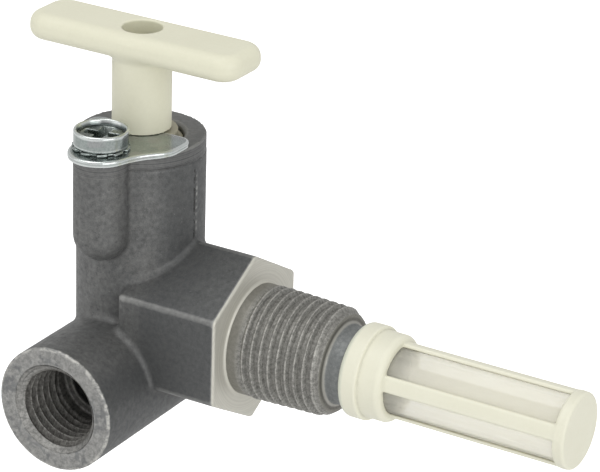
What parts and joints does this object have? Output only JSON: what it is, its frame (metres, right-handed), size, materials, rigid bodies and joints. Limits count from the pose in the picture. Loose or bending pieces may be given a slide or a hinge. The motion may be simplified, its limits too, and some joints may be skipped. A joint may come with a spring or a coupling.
{
  "type": "fuel tap",
  "caption": "Quarter-turn fuel tap with a T-handle, a tapered tank thread with a tube strainer, and a female side outlet.",
  "frame": {"origin": "on the tank thread's axis, at the middle of the thread's length", "axes": "+X along the tank thread toward the strainer, +Z along the plug axis toward the handle, -Y out of the outlet"},
  "size_m": [0.0904, 0.0335, 0.0616],
  "materials": {
    "cast_body": "bare die-cast zinc, mottled grey, turned faces lighter",
    "handle_plastic": "satin cream moulding",
    "plated_steel": "bright zinc plating",
    "strainer_plastic": "satin ivory moulding",
    "mesh_cloth": "fine woven nylon",
    "seal_rubber": "matt black"
  },
  "bodies": {
    "tap": {"body": "cast_body", "fork_plate": "plated_steel", "lock_washer": "plated_steel", "screw": "plated_steel", "strainer_frame": "strainer_plastic", "strainer_mesh": "mesh_cloth"},
    "plug": {"handle": "handle_plastic", "stem_seal": "seal_rubber", "closing_seal": "seal_rubber"}
  },
  "joints": [
    {"name": "handle_turn", "type": "hinge", "parent": "tap", "child": "plug", "pos_m": [-0.02865, 0, 0.03], "axis": [0, 0, 1], "range_deg": [0, 90]}
  ]
}
